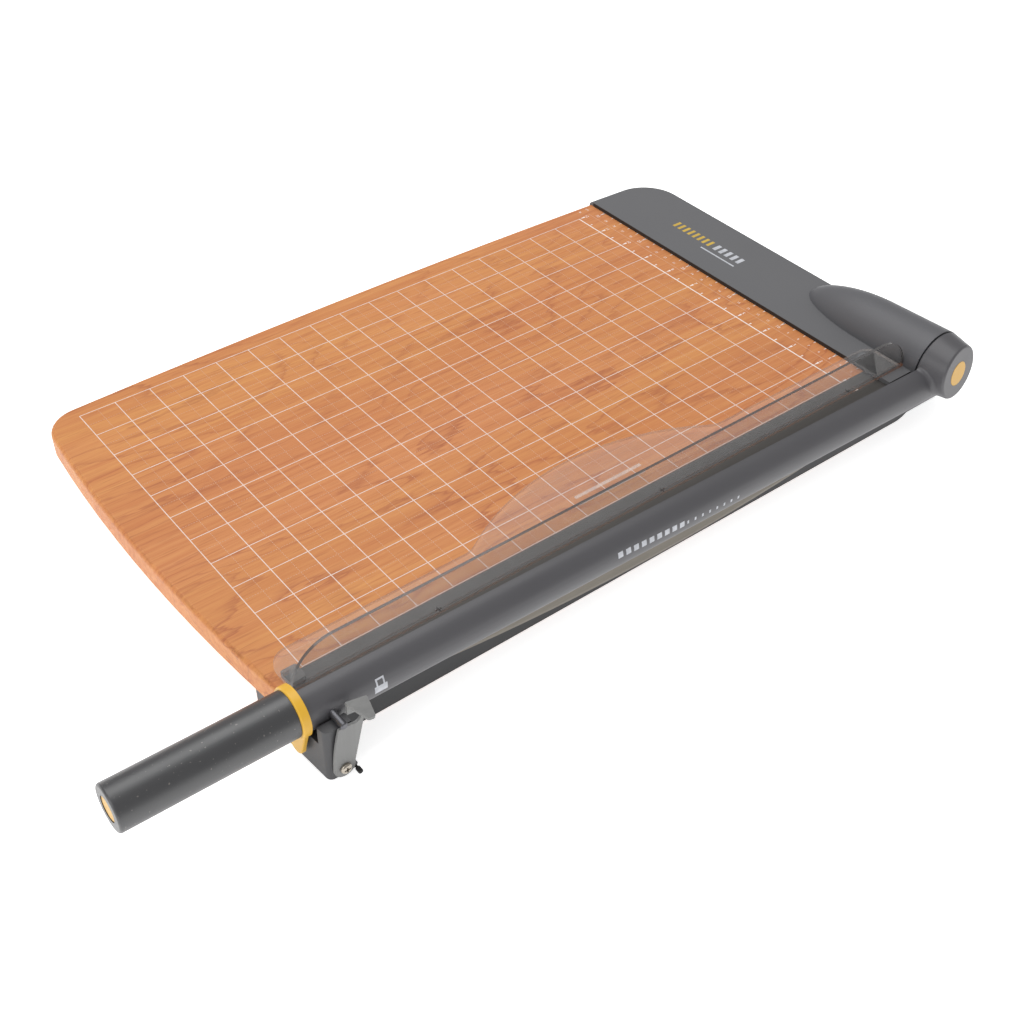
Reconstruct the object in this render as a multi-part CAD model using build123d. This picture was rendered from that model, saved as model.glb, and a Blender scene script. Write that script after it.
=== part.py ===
from build123d import *
import math
import os

# Guillotine paper cutter, millimetres.
# Working axes: X runs along the cutting edge towards the pivot, Y from the blade
# towards the far edge of the board, Z up.  X0 Y0 is the far left corner of the ruled
# grid and Z0 is the top of the board.  Every piece is moved to the part's own origin,
# the middle of its footprint on the table, when it is written.

# ---- board and the surface it stands on
BOARD_T = 16.0
STAND_Z = -38.0            # the surface under the feet
LEFT_FAR = (-21.6, 10.5)
RIGHT_FAR = (520.3, 12.0)
FAR_MIDDLE = (248.0, 17.2)  # the far edge bows out
LEFT_MIDDLE = (-29.2, -135.0)
LEFT_NEAR_X = -18.0
RIGHT_NEAR_X = 519.6
LEFT_CORNER_R = 24.0
RIGHT_CORNER_R = 32.0
EDGE_R = 3.0

# ---- cutting edge
CUT_Y = -305.3             # twelve inches and the margin of the grid
KNIFE_W = 25.3
KNIFE_T = 3.0
KNIFE_X = (-12.0, 470.0)
RAIL_T = 2.5
RAIL_X = (0.0, 489.0)
RAIL_FACE_Y = -305.0
RAIL_BACK_Y = RAIL_FACE_Y + RAIL_T
RAIL_BOTTOM = -36.0
FLANGE_X = (6.0, 452.0)
KNIFE_SCREW_X = (84.0, 256.0, 428.0)

# ---- end cap and pivot
CAP_X = 455.0
CAP_TOP = 3.0
CAP_DEPTH = 19.0
CAP_ROUND = 4.0
TONGUE_X = 512.0
TONGUE_FAR_Y = -4.0        # inside the cap's rounded corner
PIVOT_X = 500.0
PIVOT_Z = 4.0
SEAM_R = 22.5
SEAM_Y = -305.0
NOSE_LENGTH = 67.0
HOUSING_LENGTH = 117.0
HOUSING_TILT = 2.94        # the nose dips towards the board
SHELL_T = 2.4
HOUSING_SCREW_Y = -208.0
LEG_SCREWS = ((486.0, -224.0), (512.0, -224.0))
SHAFT_R = 6.0
BORE_R = 6.05
BUSH_R = 8.0
SHAFT_END_Y = -320.2
SHAFT_HEAD_R = 7.6

# ---- swinging arm
RUN_GAP = 0.3              # blade to cutting edge
BLADE_T = 1.6
BLADE_Y = CUT_Y - RUN_GAP
ARM_Y = BLADE_Y - BLADE_T  # the flat side of the arm
ARM_R = 13.6
ARM_Z0 = 3.9               # height of the arm's axis at X0
ARM_TILT = 1.23            # the arm climbs towards the handle
ARM_X = (-19.4, 486.0)
HUB_Y = BLADE_Y
HUB_FACE_Y = -325.0
HUB_FACE_R = 19.3
HUB_RIM_R = 1.6
HUB_BACK_CHAMFER = 1.0
BLEND_R = 3.0              # where the arm runs into the hub
FACE_NORMAL = (0.12, -1.0, 0.095)
DISC_R = 8.95
BLADE_X = (8.0, 474.0)
BLADE_TOP = 8.5            # above the arm's axis
BLADE_LOW_Z = -33.5
BLADE_LOW_X = 255.0
BLADE_EDGE_R = 1300.0
BLADE_SCREW_X = (60.0, 165.0, 270.0, 375.0, 455.0)

# ---- handle
RING_X = (-24.9, -19.7)
RING_R = 15.2
TAB_X = (-22.3, -19.7)     # the ring's thinner tab
TAB_Y = ARM_Y + 1.5
TAB_R = 7.2
TAB_DROP = 25.6
TAB_SHOULDER = (12.5, 8.0)  # half width, and how far below the axis
GRIP_R = 13.7
GRIP_END_X = -126.5
ROD_R = 4.5
ROD_Y = -313.2
ROD_X = (-112.0, 24.0)
PLUG_R = 7.5

# ---- safety latch
LATCH_X = -7.8
LATCH_Z = -29.0
LATCH_T = 1.6
LATCH_FACE_Y = -331.0
PIN_X = -6.6
PIN_Z = 5.0
PIN_R = 2.2
PIN_END_Y = -332.7
PIN_ROOT_Y = -318.0
SLOT_R = (31.2, 39.8)
LATCH_SHANK_R = 2.0
STOP_X = -0.9
STOP_Z = -34.0

# ---- end block under the front left corner
BLOCK_FRONT_Y = -328.6
BLOCK_FAR_Y = -264.0
BLOCK_RIGHT_X = -0.3
BLOCK_BOTTOM = -37.7
TRAY_Z = -11.5
BLOCK_SCREW_X = -12.0
BLOCK_SCREW_Y = (-272.0, -294.0)
LIP_TOP_Z = 1.5
LIP_INNER_Y = -321.6

# ---- clear guard
GUARD_LIFT = 3.0
GUARD_T = 2.0
GUARD_X = (-15.0, 477.0)
GUARD_H = 28.0
WALL_Y = -293.0
FOOT_FAR_Y = -265.5
LOBE_X = 225.0
LOBE_R = 180.0
LOBE_PEAK_Y = -235.0

# ---- feet
PAD_T = 2.0
FRONT_PADS = ((-10.0, -283.0), (501.0, -255.0))
REAR_FEET = ((24.0, -24.0), (488.0, -24.0))
FOOT_R = 9.0
PAD_R = 6.0

BACK, FRONT = 150.0, -460.0


def box(x, y, z):
    """A box from three (low, high) pairs."""
    size = [high - low for low, high in (x, y, z)]
    middle = [(high + low) / 2 for low, high in (x, y, z)]
    return Pos(*middle) * Box(*size)


def bar_y(x, y, z, radius):
    """A round bar along Y, with y as a (low, high) pair."""
    return Pos(x, sum(y) / 2, z) * Rot(90, 0, 0) * Cylinder(radius, y[1] - y[0])


def bar_x(x, y, z, radius):
    return Pos(sum(x) / 2, y, z) * Rot(0, 90, 0) * Cylinder(radius, x[1] - x[0])


def tube_y(x, y, z, outer, inner):
    return bar_y(x, y, z, outer) - bar_y(x, (y[0] - 1, y[1] + 1), z, inner)


def cross_slot(size, depth):
    """The recess of a cross-head screw, opening at Z0 and reaching down."""
    slot = Pos(0, 0, -depth / 2) * Box(size, size / 4, depth)
    return slot + Rot(0, 0, 90) * slot


def flat_screw(shank_r, length, head_r):
    """Countersunk screw, head flush at Z0, pointing down."""
    head_h = head_r - shank_r
    head = Pos(0, 0, -head_h / 2) * Cone(shank_r, head_r, head_h)
    shank = Pos(0, 0, -head_h - (length - head_h) / 2) * Cylinder(shank_r, length - head_h)
    return head + shank - cross_slot(head_r * 1.1, head_h * 0.8)


def pan_screw(shank_r, length, head_r, head_h):
    """Domed screw, head standing on Z0, pointing down."""
    head = Pos(0, 0, head_h / 2) * Cylinder(head_r, head_h)
    head = fillet(head.edges().sort_by(Axis.Z)[-1], head_h * 0.7)
    shank = Pos(0, 0, -length / 2) * Cylinder(shank_r, length)
    return head + shank - Pos(0, 0, head_h) * cross_slot(head_r * 1.1, head_h * 0.6)


def on_arm(piece):
    """Put a piece drawn along the level arm axis onto the climbing arm."""
    return Pos(0, 0, ARM_Z0) * Rot(0, ARM_TILT, 0) * piece


def plan_solid(z_low, z_high):
    """The whole outline of board and cap seen from above, as a slab."""
    near_right = (RIGHT_NEAR_X, RAIL_BACK_Y)
    near_left = (LEFT_NEAR_X, RAIL_BACK_Y)
    edges = [
        ThreePointArc(near_left, LEFT_MIDDLE, LEFT_FAR),
        ThreePointArc(LEFT_FAR, FAR_MIDDLE, RIGHT_FAR),
        Line(RIGHT_FAR, near_right),
        Line(near_right, near_left),
    ]
    slab = extrude(make_face(edges), amount=z_high - z_low)
    slab = Pos(0, 0, z_low) * slab
    slab = fillet(far_uprights(slab)[0], LEFT_CORNER_R)
    return fillet(far_uprights(slab)[-1], RIGHT_CORNER_R)


def far_uprights(slab):
    """The upright edges near the far corners, from left to right."""
    uprights = slab.edges().filter_by(Axis.Z)
    return [e for e in uprights.sort_by(Axis.X) if e.center().Y > -40]


def tongue_box():
    """The part of the board that the cap takes in."""
    return box((CAP_X, TONGUE_X), (RAIL_BACK_Y, TONGUE_FAR_Y), (-BOARD_T, 0))


def pivot_well():
    """The space under the pivot housing for the shaft's bracket."""
    return box((481, 516), (-299.5, -236), (-33, CAP_TOP + 1))


# ---------------------------------------------------------------- board side

def make_board():
    board = plan_solid(-BOARD_T, 0) & box((-60, CAP_X), (FRONT, BACK), (-BOARD_T, 0))
    rim = [e for e in board.edges() if e.center().Z > -0.01]
    rim = [e for e in rim if e.center().X < CAP_X - 1 and e.center().Y > RAIL_BACK_Y + 1]
    board = fillet(rim, EDGE_R)
    board += tongue_box()
    board -= box((476, 530), (FRONT, -210), (-BOARD_T, 1))
    board -= box((KNIFE_X[0], 530), (FRONT, CUT_Y + KNIFE_W), (-KNIFE_T, 1))
    for x in KNIFE_SCREW_X:
        board -= Pos(x, -289, -KNIFE_T) * Cylinder(1.8, 20)
    for x, y in board_screw_places():
        board -= Pos(x, y, -BOARD_T) * Cylinder(1.6, 22)
    board -= Pos(PIVOT_X, HOUSING_SCREW_Y, -8) * Cylinder(1.6, 20)
    return board


def board_screw_places():
    """Where screws come up into the board from below."""
    places = [(x, -294) for x in rail_screw_places()]
    places += list(cap_screw_places()) + list(REAR_FEET)
    return places + [(BLOCK_SCREW_X, y) for y in BLOCK_SCREW_Y]


def make_bed_knife():
    knife = box(KNIFE_X, (CUT_Y, CUT_Y + KNIFE_W), (-KNIFE_T, 0))
    for x in KNIFE_SCREW_X:
        knife -= Pos(x, -289, 0) * flat_screw_space(1.8, 16, 3.8)
    return knife


def flat_screw_space(shank_r, length, head_r):
    """The countersunk hole that a flat screw fills."""
    head_h = head_r - shank_r
    head = Pos(0, 0, -head_h / 2) * Cone(shank_r, head_r, head_h)
    return head + Pos(0, 0, -length / 2) * Cylinder(shank_r, length)


def make_knife_screws():
    screws = [Pos(x, -289, 0) * flat_screw(1.8, 12.5, 3.8) for x in KNIFE_SCREW_X]
    return Compound(children=screws)


def make_rail():
    wall = box(RAIL_X, (RAIL_FACE_Y, RAIL_BACK_Y), (RAIL_BOTTOM, -KNIFE_T))
    corner = wall.edges().filter_by(Axis.Y).sort_by(Axis.Z)[:2].sort_by(Axis.X)[-1]
    wall = fillet(corner, 20)
    flange = box(FLANGE_X, (RAIL_BACK_Y, -287), (-BOARD_T - 2, -BOARD_T))
    rail = wall + flange
    for x in rail_screw_places():
        rail -= Pos(x, -294, -BOARD_T) * Cylinder(1.6, 10)
    return rail


def rail_screw_places():
    return [30 + 100 * i for i in range(5)]


def make_rail_screws():
    screw = Rot(180, 0, 0) * pan_screw(1.6, 10, 3.4, 2.0)
    places = [Pos(x, -294, -BOARD_T - 2) for x in rail_screw_places()]
    return Compound(children=[place * screw for place in places])


def cap_block():
    """The end cap's outer shape, before anything is taken out of it."""
    cap = plan_solid(-CAP_DEPTH, CAP_TOP)
    cap &= box((CAP_X, 560), (FRONT, BACK), (-CAP_DEPTH, CAP_TOP))
    rim = [e for e in cap.edges() if e.center().Z > CAP_TOP - 0.01]
    rim = [e for e in rim if e.center().X > CAP_X + 1 and e.center().Y > RAIL_BACK_Y + 1]
    cap = fillet(rim, CAP_ROUND)
    return cap + (pivot_boss() & box((460, 540), (FRONT, BACK), (-CAP_DEPTH, CAP_TOP)))


def make_end_cap():
    cap = cap_block() - tongue_box()
    cap -= box((CAP_X - 1, KNIFE_X[1]), (FRONT, CUT_Y + KNIFE_W), (-KNIFE_T, 0))
    for x, y in cap_screw_places() + REAR_FEET[1:]:
        cap -= Pos(x, y, -CAP_DEPTH) * Cylinder(1.6, 6.2)
    cap -= Pos(PIVOT_X, HOUSING_SCREW_Y, -8) * Cylinder(1.6, 30)
    for x, y in LEG_SCREWS:
        cap -= Pos(x, y, -CAP_DEPTH) * Cylinder(1.6, 14)
    return cap - pivot_well() - bar_y(PIVOT_X, (-320, -290), PIVOT_Z, 10.4) - make_rail_envelope()


def pivot_boss():
    """The round seat behind the seam that the hub turns against."""
    return bar_y(PIVOT_X, (SEAM_Y, -296), PIVOT_Z, SEAM_R)


def make_pivot_leg():
    """The deep block under the pivot that carries its bracket down to the table."""
    leg = box((477.5, 519), (RAIL_BACK_Y, -212), (RAIL_BOTTOM, -CAP_DEPTH))
    leg = fillet(leg.edges().filter_by(Axis.Z).sort_by(Axis.Y)[-2:], 6)
    leg -= pivot_well()
    for x in (PIVOT_X - 11, PIVOT_X + 11):
        leg -= Pos(x, -256, -33) * Cylinder(2, 3.2)
    for x, y in LEG_SCREWS:
        leg -= Pos(x, y, -26) * Cylinder(1.6, 40)
        leg -= Pos(x, y, -34) * Cylinder(3.6, 8)
    return leg - make_rail_envelope()


def make_leg_screws():
    screw = Rot(180, 0, 0) * pan_screw(1.6, 18, 3.4, 2.0)
    return Compound(children=[Pos(x, y, -30) * screw for x, y in LEG_SCREWS])


def make_rail_envelope():
    return box((440, RAIL_X[1]), (RAIL_FACE_Y, RAIL_BACK_Y), (RAIL_BOTTOM, 0.0))


def cap_screw_places():
    return ((466, -90), (466, -180), (504, -90), (504, -180))


def make_cap_screws():
    screw = Rot(180, 0, 0) * pan_screw(1.6, 12, 3.4, 2.0)
    return Compound(children=[Pos(x, y, -CAP_DEPTH) * screw for x, y in cap_screw_places()])


def housing_body(radius, length, nose):
    """A bullet along +Y from the seam, turned about its own axis."""
    base = length - nose
    angles = [math.radians(a) for a in range(0, 90, 15)]
    curve = [(radius * math.cos(a), base + nose * math.sin(a)) for a in angles]
    curve.append((0, length))
    profile = Line((0, -4), (radius, -4)) + Line((radius, -4), (radius, base))
    profile += Spline(curve, tangents=[(0, 1), (-1, 0)]) + Line((0, length), (0, -4))
    body = revolve(make_face(profile), Axis.Y)
    return Pos(PIVOT_X, SEAM_Y, PIVOT_Z) * Rot(-HOUSING_TILT, 0, 0) * body


def make_pivot_housing():
    keep = box((460, 540), (SEAM_Y, -150), (CAP_TOP, 60))
    keep += box((512, 540), (SEAM_Y, -150), (-9, CAP_TOP)) - cap_block()
    shell = housing_body(SEAM_R, HOUSING_LENGTH, NOSE_LENGTH) & keep
    inside = housing_body(SEAM_R - SHELL_T, HOUSING_LENGTH - SHELL_T, NOSE_LENGTH - SHELL_T)
    inside &= box((460, 540), (SEAM_Y + SHELL_T, -150), (CAP_TOP - 1, 60))
    shell -= inside
    shell -= bar_y(PIVOT_X, (-320, -290), PIVOT_Z, 10.4)
    post = Pos(PIVOT_X, HOUSING_SCREW_Y, CAP_TOP + 15) * Cylinder(3.4, 30)
    shell += post & housing_body(SEAM_R - 1.2, HOUSING_LENGTH - 1.2, NOSE_LENGTH - 1.2)
    return shell - Pos(PIVOT_X, HOUSING_SCREW_Y, CAP_TOP + 3) * Cylinder(1.6, 8)


def make_housing_screw():
    screw = Rot(180, 0, 0) * pan_screw(1.6, 27, 3.4, 2.0)
    return Pos(PIVOT_X, HOUSING_SCREW_Y, -CAP_DEPTH) * screw


def make_pivot_bracket():
    block = box((PIVOT_X - 13, PIVOT_X + 13), (-299.5, -268), (-33, 16))
    top = block.edges().filter_by(Axis.Y).sort_by(Axis.Z)[-2:]
    block = fillet(top, 8)
    foot = box((PIVOT_X - 15, PIVOT_X + 15), (-268, -246), (-33, -28))
    bracket = block + foot
    bracket -= bar_y(PIVOT_X, (-310, -240), PIVOT_Z, SHAFT_R)
    for x in (PIVOT_X - 11, PIVOT_X + 11):
        bracket -= Pos(x, -256, -30) * Cylinder(2, 20)
    return bracket


def make_bracket_screws():
    screw = pan_screw(2, 6.5, 3.8, 2.4)
    places = [Pos(PIVOT_X + dx, -256, -28) for dx in (-11, 11)]
    return Compound(children=[place * screw for place in places])


def make_pivot_shaft():
    shaft = bar_y(PIVOT_X, (-317.6, -268), PIVOT_Z, SHAFT_R)
    shaft += bar_y(PIVOT_X, (SHAFT_END_Y, -317.6), PIVOT_Z, SHAFT_HEAD_R)
    shaft += bar_y(PIVOT_X, (-268, -240), PIVOT_Z, 5)
    hexagon = extrude(RegularPolygon(3, 6), amount=1.8)
    shaft -= Pos(PIVOT_X, SHAFT_END_Y, PIVOT_Z) * Rot(-90, 0, 0) * hexagon
    return shaft


def make_spring_washers():
    washers = []
    for i in range(2):
        rear = Pos(PIVOT_X, -267.0 + 2.0 * i, PIVOT_Z) * Rot(90, 0, 0)
        cone = Cone(9.5, 6.5, 2.0) - Cone(9.5 - 1.2, 5.15, 2.0)
        cone -= Cylinder(5.1, 10)
        washers.append(rear * (cone if i else Rot(180, 0, 0) * cone))
    return Compound(children=washers)


def make_lock_nut():
    hexagon = extrude(RegularPolygon(8.5, 6), amount=8)
    nut = Pos(PIVOT_X, -264.0, PIVOT_Z) * Rot(-90, 0, 0) * hexagon
    nut -= bar_y(PIVOT_X, (-270, -240), PIVOT_Z, 5)
    collar = tube_y(PIVOT_X, (-256, -253.5), PIVOT_Z, 6.6, 5)
    return nut + collar


def make_thrust_washer():
    return tube_y(PIVOT_X, (-305.35, -299.5), PIVOT_Z, 10.0, SHAFT_R)


# ---------------------------------------------------------------- swinging arm

def half_round(x, radius, flat_y):
    """A half-round bar along the arm axis, bulging away from the board."""
    bar = bar_x(x, ARM_Y, 0, radius)
    return bar & box((x[0] - 1, x[1] + 1), (ARM_Y - radius - 1, flat_y), (-30, 30))


def hub_cone():
    depth = HUB_Y - HUB_FACE_Y + 6
    slope = (SEAM_R - HUB_FACE_R) / (HUB_Y - HUB_FACE_Y)
    cone = Cone(SEAM_R, SEAM_R - slope * depth, depth)
    cone = Pos(PIVOT_X, HUB_Y - depth / 2, PIVOT_Z) * Rot(90, 0, 0) * cone
    face = Plane(origin=(PIVOT_X, HUB_FACE_Y, PIVOT_Z), z_dir=FACE_NORMAL)
    return split(cone, bisect_by=face, keep=Keep.BOTTOM)


def face_place(depth):
    """The sloping end of the hub, sunk by depth."""
    normal = Vector(*FACE_NORMAL).normalized()
    centre = Vector(PIVOT_X, HUB_FACE_Y, PIVOT_Z) - normal * depth
    return Plane(origin=centre, z_dir=normal).location


def make_arm():
    hub = hub_cone()
    hub = fillet(hub.edges().sort_by(Axis.Y)[0], HUB_RIM_R)
    hub = chamfer(hub.edges().sort_by(Axis.Y)[-1], HUB_BACK_CHAMFER)
    arm = on_arm(half_round(ARM_X, ARM_R, ARM_Y)) + hub
    arm = fillet(arm_hub_corners(arm), BLEND_R)
    arm -= bar_y(PIVOT_X, (-330, -300), PIVOT_Z, BUSH_R)
    arm -= face_place(3.0) * Pos(0, 0, 5) * Cylinder(DISC_R, 10)
    arm -= tube_y(PIVOT_X, (-313.2, -300), PIVOT_Z, 15.4, 11.2)
    arm -= on_arm(bar_x((ARM_X[0] - 1, ROD_X[1]), ROD_Y, 0, ROD_R))
    arm -= bar_y(PIN_X, (-340, PIN_ROOT_Y), PIN_Z, PIN_R)
    for x in BLADE_SCREW_X:
        arm -= on_arm(blade_screw_hole(x))
    return arm


def arm_hub_corners(arm):
    """The two inside corners where the half-round bar runs into the hub."""
    curved = arm.edges().filter_by(GeomType.BSPLINE) + arm.edges().filter_by(GeomType.HYPERBOLA)
    return [e for e in curved if e.length < 40]


def blade_screw_hole(x):
    return Pos(x, BLADE_Y, 0) * Rot(-90, 0, 0) * flat_screw_space(1.6, 11, 3.0)


def make_blade():
    top = ARM_Z0 + BLADE_TOP
    fall = math.tan(math.radians(ARM_TILT))
    rise = [(x - BLADE_LOW_X) ** 2 / (2 * BLADE_EDGE_R) for x in BLADE_X]
    left_low = (BLADE_X[0], BLADE_LOW_Z + rise[0])
    right_low = (BLADE_X[1], BLADE_LOW_Z + rise[1])
    left_top = (BLADE_X[0], top - fall * BLADE_X[0])
    right_top = (BLADE_X[1], top - fall * BLADE_X[1])
    edges = [
        ThreePointArc(left_low, (BLADE_LOW_X, BLADE_LOW_Z), right_low),
        Line(right_low, right_top),
        Line(right_top, left_top),
        Line(left_top, left_low),
    ]
    face = Plane.XZ * make_face(edges)
    blade = Pos(0, BLADE_Y, 0) * extrude(face, amount=BLADE_T)
    low = blade.edges().filter_by(GeomType.CIRCLE).sort_by(Axis.Y)[0]
    blade = chamfer(low, 1.1, 3.2)
    for x in BLADE_SCREW_X:
        blade -= on_arm(blade_screw_hole(x))
    return blade


def make_blade_screws():
    screw = Rot(-90, 0, 0) * flat_screw(1.6, 11, 3.0)
    return Compound(children=[on_arm(Pos(x, BLADE_Y, 0) * screw) for x in BLADE_SCREW_X])


def make_pivot_bush():
    return tube_y(PIVOT_X, (-317.3, HUB_Y), PIVOT_Z, BUSH_R, BORE_R)


def make_hub_disc():
    disc = Pos(0, 0, 1.6) * Cylinder(DISC_R, 3.2)
    disc = fillet(disc.edges().sort_by(Axis.Z)[-1], 0.5)
    return face_place(3.0) * disc


def make_return_spring():
    turns, wire, pitch = 2.6, 1.7, 2.2
    path = Helix(pitch=pitch, height=pitch * turns, radius=13.3)
    section = Plane(origin=path @ 0, z_dir=path % 0) * Circle(wire / 2)
    coil = sweep(section, path=path, is_frenet=True)
    return Pos(PIVOT_X, -304.3 - wire, PIVOT_Z) * Rot(90, 0, 0) * coil


def make_lock_pin():
    pin = bar_y(PIN_X, (PIN_END_Y, PIN_ROOT_Y), PIN_Z, PIN_R)
    return chamfer(pin.edges().sort_by(Axis.Y)[0], 0.5)


def make_yellow_ring():
    ring = bar_x(RING_X, ARM_Y, 0, RING_R)
    collar = fillet(ring.edges().sort_by(Axis.X)[0], 1.0)
    tab = bar_x(TAB_X, TAB_Y, -TAB_DROP, TAB_R)
    wide, drop = TAB_SHOULDER
    sides = [(TAB_Y - wide, -drop), (TAB_Y - TAB_R, -TAB_DROP), (TAB_Y + TAB_R, -TAB_DROP)]
    sides += [(TAB_Y + wide, -drop), (TAB_Y + wide, 0), (TAB_Y - wide, 0)]
    taper = extrude(Plane.YZ * make_face(Polyline(*sides, close=True)), amount=TAB_X[1] - TAB_X[0])
    tab += Pos(TAB_X[0], 0, 0) * taper
    rim = [e for e in tab.edges() if abs(e.center().X - TAB_X[0]) < 0.01 and e.center().Z < -1]
    collar += fillet(rim, 0.7)
    collar -= bar_x((-40, 0), ROD_Y, 0, ROD_R)
    return on_arm(collar)


def make_handle_grip():
    grip = bar_x((GRIP_END_X, RING_X[0]), ARM_Y, 0, GRIP_R)
    grip = fillet(grip.edges().sort_by(Axis.X)[0], 1.6)
    grip -= bar_x((ROD_X[0], 0), ROD_Y, 0, ROD_R)
    grip -= bar_x((GRIP_END_X - 1, GRIP_END_X + 9), ARM_Y, 0, PLUG_R)
    return on_arm(grip)


def make_handle_rod():
    rod = bar_x(ROD_X, ROD_Y, 0, ROD_R)
    return on_arm(rod)


def make_handle_plug():
    plug = bar_x((GRIP_END_X + 0.4, GRIP_END_X + 9), ARM_Y, 0, PLUG_R)
    return on_arm(fillet(plug.edges().sort_by(Axis.X)[0], 0.8))


# ---------------------------------------------------------------- latch and block

def polar(radius, lean):
    """A point about the latch's screw, lean in degrees to the right of upright."""
    angle = math.radians(lean)
    return (LATCH_X + radius * math.sin(angle), LATCH_Z + radius * math.cos(angle))


def local(u, v):
    return (LATCH_X + u, LATCH_Z + v)


def make_latch():
    inner, outer = SLOT_R
    hook_tip = polar(outer, 6.2)
    hook_top = local(4.6, 47.9)
    top_right = local(17.3, 44.6)
    right_low = local(6.4, 1.4)
    left_low = local(-6.5, 1.4)
    left_top = polar(inner, -2.6)
    edges = [
        Line(hook_tip, hook_top),
        Line(hook_top, top_right),
        Line(top_right, right_low),
        ThreePointArc(right_low, local(0, -6.6), left_low),
        ThreePointArc(left_low, local(-5.0, 16.0), left_top),
        ThreePointArc(left_top, polar(inner, 6.0), polar(inner, 15.0)),
        ThreePointArc(polar(inner, 15.0), polar((inner + outer) / 2, 20.8), polar(outer, 15.0)),
        ThreePointArc(polar(outer, 15.0), polar(outer, 10.6), hook_tip),
    ]
    plate = extrude(Plane.XZ * make_face(edges), amount=LATCH_T)
    plate = Pos(0, LATCH_FACE_Y + LATCH_T, 0) * plate
    plate -= bar_y(LATCH_X, (-340, -320), LATCH_Z, LATCH_SHANK_R + 0.05)
    return plate + make_thumb_tab(hook_top, top_right)


def make_thumb_tab(hook_top, top_right):
    """The tapering tab folded outwards from the latch's top edge."""
    width = math.dist(hook_top, top_right)
    slope = math.degrees(math.atan2(top_right[1] - hook_top[1], top_right[0] - hook_top[0]))
    reach, tip = 14.0, 4.5
    back = LATCH_FACE_Y + LATCH_T
    points = [(0, 0), (width, 0), (width, -LATCH_T), (width / 2 + tip / 2, -reach - LATCH_T)]
    points += [(width / 2 - tip / 2, -reach - LATCH_T), (0, -LATCH_T)]
    face = make_face([Polyline(*points, close=True)])
    tab = extrude(face, amount=LATCH_T)
    tab = fillet(tab.edges().filter_by(Axis.Z).sort_by(Axis.Y)[:2], 1.8)
    place = Pos(hook_top[0], back, hook_top[1]) * Rot(0, -slope, 0) * Pos(0, 0, -LATCH_T)
    return place * tab


def make_latch_screw():
    screw = pan_screw(LATCH_SHANK_R, 16, 3.4, 2.2)
    return Pos(LATCH_X, LATCH_FACE_Y - 0.1, LATCH_Z) * Rot(90, 0, 0) * screw


def make_latch_washer():
    return tube_y(LATCH_X, (BLOCK_FRONT_Y - 0.7, BLOCK_FRONT_Y), LATCH_Z, 4.6, LATCH_SHANK_R)


def make_latch_spring():
    """The small torsion coil round the latch's screw, in the block's recess."""
    turns, wire, pitch = 3.0, 0.7, 0.8
    path = Helix(pitch=pitch, height=pitch * turns, radius=3.5)
    section = Plane(origin=path @ 0, z_dir=path % 0) * Circle(wire / 2)
    coil = sweep(section, path=path, is_frenet=True)
    return Pos(LATCH_X, BLOCK_FRONT_Y + 3.3, LATCH_Z) * Rot(90, 0, 0) * coil


def make_latch_stop():
    """The rubber-tipped peg beside the foot of the latch."""
    stem = bar_y(STOP_X, (LATCH_FACE_Y - 3.7, -320.0), STOP_Z, 0.8)
    tip = bar_y(STOP_X, (LATCH_FACE_Y - 4.2, LATCH_FACE_Y - 0.2), STOP_Z, 1.5)
    return stem + fillet(tip.edges().filter_by(GeomType.CIRCLE), 0.6)


def make_end_block():
    left = [(-22.0, BLOCK_FAR_Y), (-16.6, BLOCK_FRONT_Y)]
    far = (BLOCK_RIGHT_X, BLOCK_FAR_Y)
    near = (BLOCK_RIGHT_X, BLOCK_FRONT_Y)
    outline = make_face([Polyline(left[0], left[1], near, far, close=True)])
    block = Pos(0, 0, BLOCK_BOTTOM) * extrude(outline, amount=LIP_TOP_Z - BLOCK_BOTTOM)
    block = fillet(block.edges().filter_by(Axis.Z).sort_by(Axis.X)[1:2], 4.0)
    low = [e for e in block.edges() if e.center().Z < BLOCK_BOTTOM + 0.01]
    low = [e for e in low if e.center().Y < BLOCK_FRONT_Y + 0.5]
    block = fillet(low, 1.2)
    block -= box((-60, 60), (RAIL_BACK_Y, BACK), (-BOARD_T, 10))
    block -= box((-60, 60), (LIP_INNER_Y, RAIL_BACK_Y + 0.1), (TRAY_Z, 10))
    block -= bar_y(LATCH_X, (-340, -308), LATCH_Z, LATCH_SHANK_R)
    block -= tube_y(LATCH_X, (BLOCK_FRONT_Y - 1, BLOCK_FRONT_Y + 3.9), LATCH_Z, 4.4, 2.4)
    block += bar_y(STOP_X, (BLOCK_FRONT_Y, -314), STOP_Z, 2.0)
    block -= bar_y(STOP_X, (-330, -320), STOP_Z, 0.8)
    for y in BLOCK_SCREW_Y:
        block -= Pos(BLOCK_SCREW_X, y, -26) * Cylinder(1.6, 40)
        block -= Pos(BLOCK_SCREW_X, y, -32) * Cylinder(3.6, 14)
    return block - Pos(*FRONT_PADS[0], STAND_Z + PAD_T / 2) * Cylinder(PAD_R, PAD_T)


def make_block_screws():
    screw = Rot(180, 0, 0) * pan_screw(1.6, 20, 3.4, 2.0)
    return Compound(children=[Pos(BLOCK_SCREW_X, y, -25) * screw for y in BLOCK_SCREW_Y])


# ---------------------------------------------------------------- guard and feet

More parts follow.
